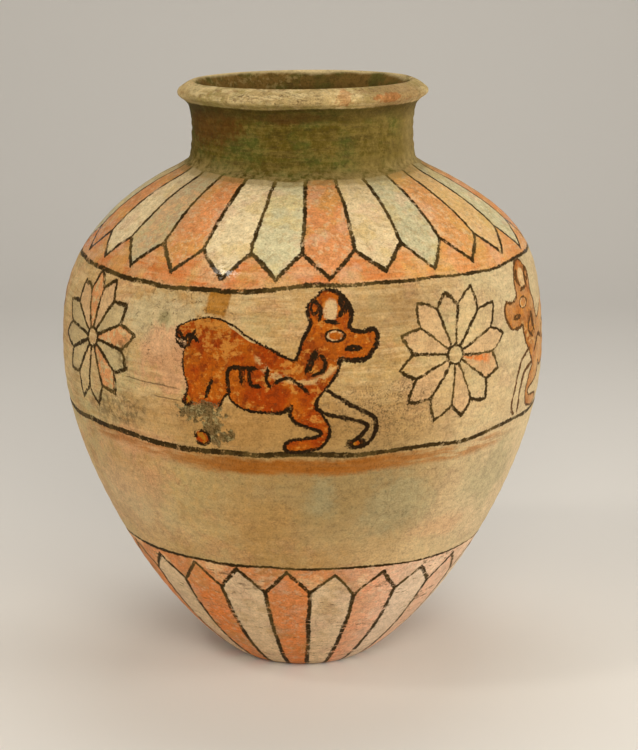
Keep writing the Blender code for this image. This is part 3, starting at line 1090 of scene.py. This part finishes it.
        # paler towards the right and palest at the right edge: painted light on the neck's lit right side, broken up by
        # the glaze's own mottling
        pale = self.round.between(0.075, 0.330, 0.035) * self.patch[2].over(0.34, 0.56)
        tone = self.mix(pale * 0.55, tone, paints["neckTan"])
        tone = self.mix(self.round.between(0.190, 0.330, 0.020) * 0.40, tone, paints["neckPale"])
        low = edge.under(runs["petalTop"] + 0.001, runs["petalTop"] + 0.014)
        low = low * (self.grain[0] * 0.6 + self.patch[1] * 0.4).over(0.34, 0.56)
        tone = self.mix(low * 0.62, tone, paints["neckPale"])
        shadow = self.run.over(runs["neckTop"] - 0.007, runs["neckTop"] + 0.002) * 0.60
        tone = self.mix(shadow, tone, paints["insideDark"])
        self.lay(onNeck, tone)
        # the lowest few millimetres of the neck's glaze ran thin over the petals
        thin = edge.between(runs["petalTop"] - 0.006, runs["petalTop"], 0.0015)
        self.lay(thin * 0.50, paints["neckTan"])

        onRim = (self.run + self.drift).over(runs["rimFoot"] - 0.001, runs["rimFoot"] + 0.001)
        tone = self.mix(self.patch[2].over(0.44, 0.60) * 0.65, paints["rimTan"], paints["rimGreen"])
        tone = self.mix((self.streak[1] * 0.6 + self.grain[1] * 0.4).over(0.46, 0.58) * 0.85, tone, paints["rimPale"])
        tone = self.mix((self.streak[0] * 0.5 + self.grain[2] * 0.5).over(0.52, 0.60) * 0.55, tone, paints["groundBrown"])
        # short dark cracks and pits, most of them left of the middle
        cracked = (self.streak[2] - 0.50).size().under(0.003, 0.014) * self.patch[1].over(0.47, 0.53)
        cracked = cracked.most(self.grain[2].over(0.62, 0.66))
        cracked = cracked * (self.blot(self.onWall, (-0.01, jarPath.crest - 0.010), (0.09, 0.014), 0, 0.6) * 0.7 + 0.3)
        tone = self.mix(cracked * 0.70, tone, paints["insideDark"])
        lowEdge = self.run.under(jarPath.crest - 0.019, jarPath.crest - 0.013) * self.round.under(0.0, 0.06)
        tone = self.mix(lowEdge * (0.35 + self.patch[0].over(0.42, 0.56) * 0.5), tone, paints["rimGreen"])
        # dull on the right; paler along the crest at the back, which is painted light on the top of the far crest
        dull = self.blot(self.onWall, (0.150, jarPath.crest - 0.011), (0.055, 0.014), 0, 0.7)
        tone = self.mix(dull * (0.38 + self.grain[1] * 0.6), tone, paints["groundBrown"])
        # painted light along the top of the crest at the back
        litBackCrest = self.run.over(jarPath.crest - 0.007, jarPath.crest - 0.004) * self.turn.size().over(0.25, 0.36)
        tone = self.mix(litBackCrest * 0.90, tone, paints["rimPale"])
        ragged = (self.patch[1] - 0.5) * 3.0 + (self.grain[0] - 0.5) * 2.5
        blush = self.blot(self.onWall, (0.130, jarPath.crest - 0.0135), (0.024, 0.0040), ragged, 0.2)
        blush = blush.most(self.blot(self.onWall, (0.056, jarPath.crest - 0.012), (0.010, 0.0070), ragged, 0.2) * 0.7)
        blush = blush.most(self.blot(self.onWall, (0.50, jarPath.crest - 0.008), (0.07, 0.006), ragged))
        rust = self.mix(self.grain[2].over(0.32, 0.48), paints["orangePetal"], paints["rimRust"])
        tone = self.mix(blush * 0.70, tone, rust)
        self.lay(onRim, tone)
        inside = (self.run + self.wander * 1.5).over(jarPath.crest + 0.0020, jarPath.crest + 0.0060)
        tone = self.mix(self.patch[0].over(0.42, 0.60), paints["insideBrown"], paints["insideGreen"])
        tone = self.mix((self.grain[0] * 0.6 + self.speck[0] * 0.4).over(0.44, 0.62) * 0.75, tone, paints["insideDark"])
        dusty = self.grain[1].over(0.50, 0.64) * self.round.under(-0.1, 0.2)
        tone = self.mix(dusty * 0.40, tone, paints["neckPale"])
        self.lay(inside, tone)
        self.lay(self.run.under(-0.002, 0.0), paints["clay"])

    def layStains(self):
        ragged = (self.patch[0] - 0.5) * 1.6 + (self.grain[0] - 0.5) * 1.2
        # brown glaze ran down from the upper ring, and lies in a band under the lower one
        across = (self.round + self.wander * 1.5).between(-0.0675, -0.0525, 0.0012)
        drip = across * (self.up + self.drift * 2.0).over(0.0355, 0.0385)
        self.lay(drip * self.inFrieze * (0.65 + self.streak[0] * 0.4), paints["stainGold"])
        low, high = runs["friezeFoot"] - 0.0140, runs["friezeFoot"] - 0.0032
        below = self.run - self.rise["friezeFoot"] + self.drift * 1.5 + (self.grain[0] - 0.5) * 0.004
        middle = below.between(low, high, 0.0022) * self.round.between(-0.075, 0.070, 0.035)
        self.lay(middle * (0.50 + self.streak[0] * 0.7), paints["stain"])
        left = below.between(low + 0.003, high + 0.003, 0.0025) * self.round.between(-0.175, -0.050, 0.02)
        right = below.between(low + 0.002, high + 0.001, 0.0025) * self.round.between(0.050, 0.165, 0.025)
        faint = left.most(right) * self.streak[2].over(0.36, 0.56)
        self.lay(faint * 0.60, paints["stain"])
        # fine dark specks by the foreleg, grey smudges on the left
        patch = self.blot(self.onFrieze, (0.054, -0.027), (0.038, 0.020), ragged * 0.7, 0.5)
        self.lay(patch * 0.25, paints["groundBrown"])
        self.lay(patch * self.speck[1].over(0.48, 0.60) * self.grain[1].over(0.36, 0.56) * 0.70, paints["grime"])
        smoke = self.blot(self.onFrieze, (-0.142, -0.036), (0.026, 0.011), ragged, 0.4)
        smoke = smoke.most(self.blot(self.onFrieze, (-0.131, 0.002), (0.006, 0.010), ragged, 0.4))
        self.lay(smoke * self.grain[1].over(0.40, 0.58) * 0.65, paints["smoke"])
        # hairline cracks on the left and short dark scratches
        upper = (self.up + 0.0115 + (self.round + 0.125) * 0.05 + self.wander * 0.7).size()
        lower = (self.up + 0.0205 + (self.round + 0.102) * 0.06 + self.wander * 0.7).size()
        crack = upper.under(0.0002, 0.0007) * self.round.between(-0.128, -0.084, 0.003)
        crack = crack.most(lower.under(0.0002, 0.0006) * self.round.between(-0.103, -0.083, 0.003))
        arcs = (self.patch[1] - 0.54).size().under(0.004, 0.014) * self.grain[2].over(0.53, 0.57)
        scratched = self.blot(self.onFrieze, (-0.085, 0.030), (0.040, 0.028), ragged, 0.3)
        self.scratches = crack.most(arcs * scratched)
        self.lay(self.scratches * 0.65, paints["grime"])

    def drawLines(self):
        rubbed = (self.grain[1] * 0.5 + self.patch[0] * 0.3 + self.speck[2] * 0.2).over(0.53, 0.61)
        tone = self.mix(self.patch[2].over(0.46, 0.62) * 0.7, paints["line"], paints["lineWorn"])
        self.lay(self.lines * (1.0 - rubbed * 0.6), tone)
        self.lay(self.figureLines * (1.0 - rubbed * 0.45), self.figureTone)

    def wearAndDirt(self):
        # fine unevenness of tone, craze lines, pits and grime
        onNeck = self.run.between(runs["petalTop"], runs["neckTop"], 0.003)
        depth = self.grain[0] * 0.90 + self.patch[0] * 0.40 + self.streak[1] * 0.40 + 0.15
        self.colour = self.shade(self.colour, depth + (self.speck[0] - 0.5) * (1.10 - onNeck * 0.60))
        bent = self.vector("MULTIPLY_ADD", self.joined(*self.grain), (0.006, 0.006, 0.006), self.place).outputs[0]
        cells = self.add("ShaderNodeTexVoronoi", {"feature": "DISTANCE_TO_EDGE"}, {"Vector": bent, "Scale": 130.0})
        self.craze = self.number(cells.outputs["Distance"]).under(0.012, 0.05) * self.patch[1].over(0.46, 0.60)
        self.lay(self.craze * 0.15, paints["grime"])
        self.pits = self.speck[0].over(0.62, 0.70) * self.patch[2].over(0.38, 0.56)
        self.lay(self.pits * 0.50, paints["grime"])

    def finish(self):
        self.feed(self.shader.inputs["Base Color"], self.colour)
        inside = self.run.over(jarPath.crest, jarPath.crest + 0.006)
        onNeck = self.run.over(runs["petalTop"], runs["petalTop"] + 0.002)
        rough = 0.46 + self.patch[0] * 0.22 + self.pits * 0.2 + onNeck * 0.12 + inside * 0.2
        self.feed(self.shader.inputs["Roughness"], rough)
        self.shader.inputs["Specular IOR Level"].default_value = 0.06
        # the glaze has kept its shine in places above the frieze
        shiny = self.run.between(runs["friezeTop"] + 0.003, runs["friezeTop"] + 0.034, 0.004)
        shiny = shiny * (self.streak[1] * 0.4 + self.grain[0] * 0.3 + self.speck[2] * 0.3).over(0.49, 0.53)
        self.feed(self.shader.inputs["Coat Weight"], shiny * 0.7)
        self.shader.inputs["Coat Roughness"].default_value = 0.18
        height = self.grain[0] * 0.50 + self.streak[0] * 0.50 + self.speck[0] * 0.30
        height = height - self.lines * 0.25 - self.pits * 0.6 - self.craze * 0.3 - self.scratches * 0.6
        relief = self.add("ShaderNodeBump", {}, {"Strength": 0.7, "Distance": 0.0009, "Height": height})
        self.feed(self.shader.inputs["Normal"], relief.outputs["Normal"])
        print("glaze:", len(self.tree.nodes), "nodes")
        return self.material


def paintGlaze():
    paint = PaintedJar()
    paint.layGround()
    paint.paintShoulder()
    paint.paintLowerPetals()
    paint.paintRings()
    paint.paintRosettes()
    paint.layStains()
    paint.paintAnimals()
    paint.drawLines()
    paint.paintNeckAndRim()
    paint.wearAndDirt()
    return paint.finish()


jar.data.materials.append(paintGlaze())
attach(jar, "root")
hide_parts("jar")


# floor and light

studio = {
    "floorWidth": 7.0,
    "floorFront": -2.5,
    "wallAt": 2.2,
    "bend": 0.9,
    "wallHeight": 3.2,
    "tone": (0.80, 0.785, 0.76),
    "worldTone": (1.0, 0.95, 0.88),
    "worldStrength": 0.14,
    "lamps": {  # place, aim, size, power, tone
        "key": ((0.30, -1.9, 1.25), (0.0, 0.0, 0.22), (1.1, 0.9), 23, (1.0, 0.93, 0.82)),
        "upperLeft": ((-1.1, -0.85, 1.86), (0.0, 0.0, 0.30), (0.25, 0.25), 5, (1.0, 0.93, 0.82)),
        "left": ((-1.6, -0.7, 0.6), (0.0, 0.0, 0.18), (0.7, 1.2), 8, (1.0, 0.94, 0.84)),
        "right": ((1.6, -0.45, 0.45), (0.0, 0.0, 0.16), (0.7, 0.8), 14, (1.0, 0.95, 0.86)),
        "overhead": ((0.1, 0.5, 1.9), (0.0, 0.0, 0.3), (1.2, 1.0), 12, (1.0, 0.95, 0.88)),
    },
}


def layFloor():
    # A sweep of pale paper: flat under the jar, then up behind it
    sheet = bmesh.new()
    half = studio["floorWidth"] / 2
    bend, wallAt = studio["bend"], studio["wallAt"]
    line = [(studio["floorFront"], 0.0)]
    for step in range(13):
        angle = pi / 2 * step / 12
        line.append((wallAt - bend + bend * sin(angle), bend - bend * cos(angle)))
    line.append((wallAt, studio["wallHeight"]))
    verts = [sheet.verts.new((-half, y, z)) for y, z in line]
    edges = [sheet.edges.new(pair) for pair in zip(verts, verts[1:])]
    widened = bmesh.ops.extrude_edge_only(sheet, edges=edges)
    moved = [item for item in widened["geom"] if isinstance(item, bmesh.types.BMVert)]
    bmesh.ops.translate(sheet, verts=moved, vec=(2 * half, 0, 0))
    bmesh.ops.recalc_face_normals(sheet, faces=sheet.faces)
    mesh = bpy.data.meshes.new("paper_sweep")
    sheet.to_mesh(mesh)
    sheet.free()
    mesh.shade_smooth()
    floor = bpy.data.objects.new("paper_sweep", mesh)
    bpy.context.scene.collection.objects.link(floor)
    paper = GlazeMix("pale_paper")
    paper.shader.inputs["Base Color"].default_value = studio["tone"] + (1.0,)
    paper.shader.inputs["Roughness"].default_value = 0.85
    mesh.materials.append(paper.material)


def hangLamp(name, place, aim, size, power, tone):
    data = bpy.data.lights.new(name, "AREA")
    data.shape = "RECTANGLE"
    data.size, data.size_y = size
    data.energy = power
    data.color = tone
    lamp = bpy.data.objects.new(name, data)
    bpy.context.scene.collection.objects.link(lamp)
    lamp.location = place
    lamp.rotation_euler = (Vector(aim) - Vector(place)).to_track_quat("-Z", "Y").to_euler()


def lightStudio():
    world = bpy.data.worlds.new("studio")
    bpy.context.scene.world = world
    world.use_nodes = True
    background = world.node_tree.nodes["Background"]
    background.inputs["Color"].default_value = studio["worldTone"] + (1.0,)
    background.inputs["Strength"].default_value = studio["worldStrength"]
    for name, lamp in studio["lamps"].items():
        hangLamp(name, *lamp)
    bpy.context.scene.view_settings.view_transform = "Standard"
    print("studio lit")


layFloor()
lightStudio()
